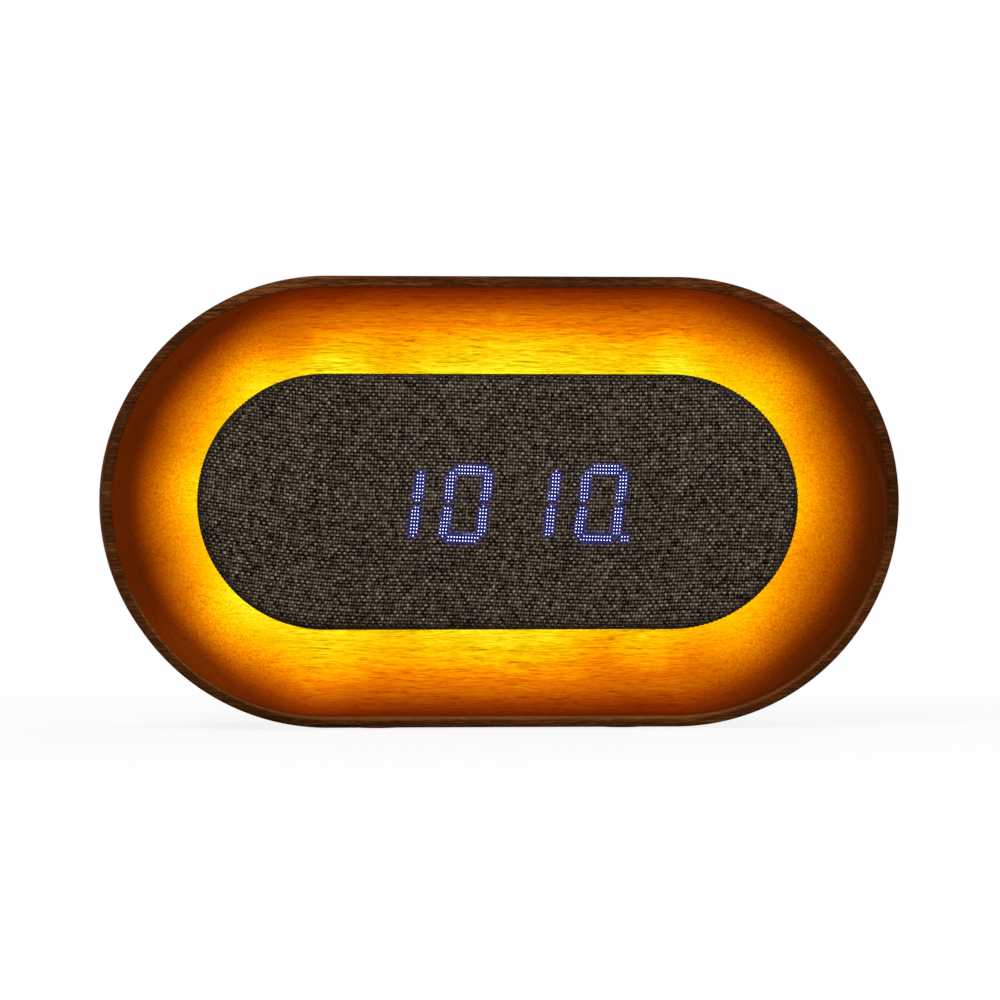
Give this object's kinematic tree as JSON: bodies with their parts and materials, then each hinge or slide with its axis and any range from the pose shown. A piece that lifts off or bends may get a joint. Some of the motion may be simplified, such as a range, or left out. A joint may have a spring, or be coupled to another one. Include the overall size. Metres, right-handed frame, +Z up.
{
  "type": "digital alarm clock",
  "caption": "Round-ended wooden dish clock standing on its long side, with a cloth-covered seven-bar display panel floating over a lit cove and push buttons on the back.",
  "frame": {"origin": "on the surface that the clock stands on, under the middle of the clock", "axes": "+X to the right of the face, along the clock's length; -Y out of the face; +Z up"},
  "size_m": [0.2014, 0.056, 0.1139],
  "materials": {
    "walnut": "oiled, satin",
    "foot_silicone": "matt",
    "cover_plastic": "fine texture",
    "black_screw": "blackened",
    "core_plastic": "matt white",
    "foam": "foam",
    "steel_screw": "zinc plated",
    "light_strip": "flexible white film",
    "amber_led": "lit amber",
    "diffuser": "lit, milky silicone",
    "red_wire": "satin insulation",
    "panel_plastic": "moulded",
    "cloth": "plain weave",
    "housing_plastic": "moulded black",
    "digit_bar": "clear resin, lit blue-white",
    "white_led": "resin",
    "circuit_board": "green resist",
    "chip": "moulded black",
    "ribbon": "polyimide film",
    "connector": "moulded cream",
    "crystal_can": "drawn can",
    "capacitor_can": "drawn can",
    "battery_foil": "pouch foil",
    "black_wire": "satin insulation",
    "socket_steel": "plated",
    "button_plastic": "satin",
    "plunger_plastic": "moulded"
  },
  "bodies": {
    "clock": {"wood_shell": "walnut", "feet": "foot_silicone", "rear_cover": "cover_plastic", "cover_screws": "black_screw", "light_core": "core_plastic", "core_gasket": "foam", "core_screws": "steel_screw", "backlight_strip": "light_strip", "backlight_leds": "amber_led", "diffuser_band": "diffuser", "backlight_wires": "red_wire", "front_panel": "panel_plastic", "panel_screws": "steel_screw", "fabric_cover": "cloth", "display_housing": "housing_plastic", "digit_1": "digit_bar", "digit_2": "digit_bar", "digit_3": "digit_bar", "digit_4": "digit_bar", "display_leds": "white_led", "display_board": "circuit_board", "display_driver": "chip", "display_screws": "steel_screw", "display_ribbon": "ribbon", "ribbon_connectors": "connector", "main_board": "circuit_board", "board_screws": "steel_screw", "control_chip": "chip", "crystal": "crystal_can", "capacitors": "capacitor_can", "battery": "battery_foil", "battery_pad": "foam", "battery_wires": "black_wire", "buzzer": "chip", "usb_shell": "socket_steel", "usb_tongue": "chip", "push_switches": "chip", "slide_switch_case": "socket_steel"},
    "set_button": {"button_set": "button_plastic", "plunger_set": "plunger_plastic"},
    "up_button": {"button_up": "button_plastic", "plunger_up": "plunger_plastic"},
    "down_button": {"button_down": "button_plastic", "plunger_down": "plunger_plastic"},
    "light_button": {"button_light": "button_plastic", "plunger_light": "plunger_plastic"},
    "alarm_switch": {"slide_switch_knob": "button_plastic"}
  },
  "joints": [
    {"name": "set_press", "type": "slide", "parent": "clock", "child": "set_button", "axis": [0, -1, 0], "range_m": [0, 0.0006], "stiffness_N_per_m": 2500},
    {"name": "up_press", "type": "slide", "parent": "clock", "child": "up_button", "axis": [0, -1, 0], "range_m": [0, 0.0006], "stiffness_N_per_m": 2500},
    {"name": "down_press", "type": "slide", "parent": "clock", "child": "down_button", "axis": [0, -1, 0], "range_m": [0, 0.0006], "stiffness_N_per_m": 2500},
    {"name": "light_press", "type": "slide", "parent": "clock", "child": "light_button", "axis": [0, -1, 0], "range_m": [0, 0.0006], "stiffness_N_per_m": 2500},
    {"name": "alarm_slide", "type": "slide", "parent": "clock", "child": "alarm_switch", "axis": [1, 0, 0], "range_m": [0, 0.003]}
  ]
}
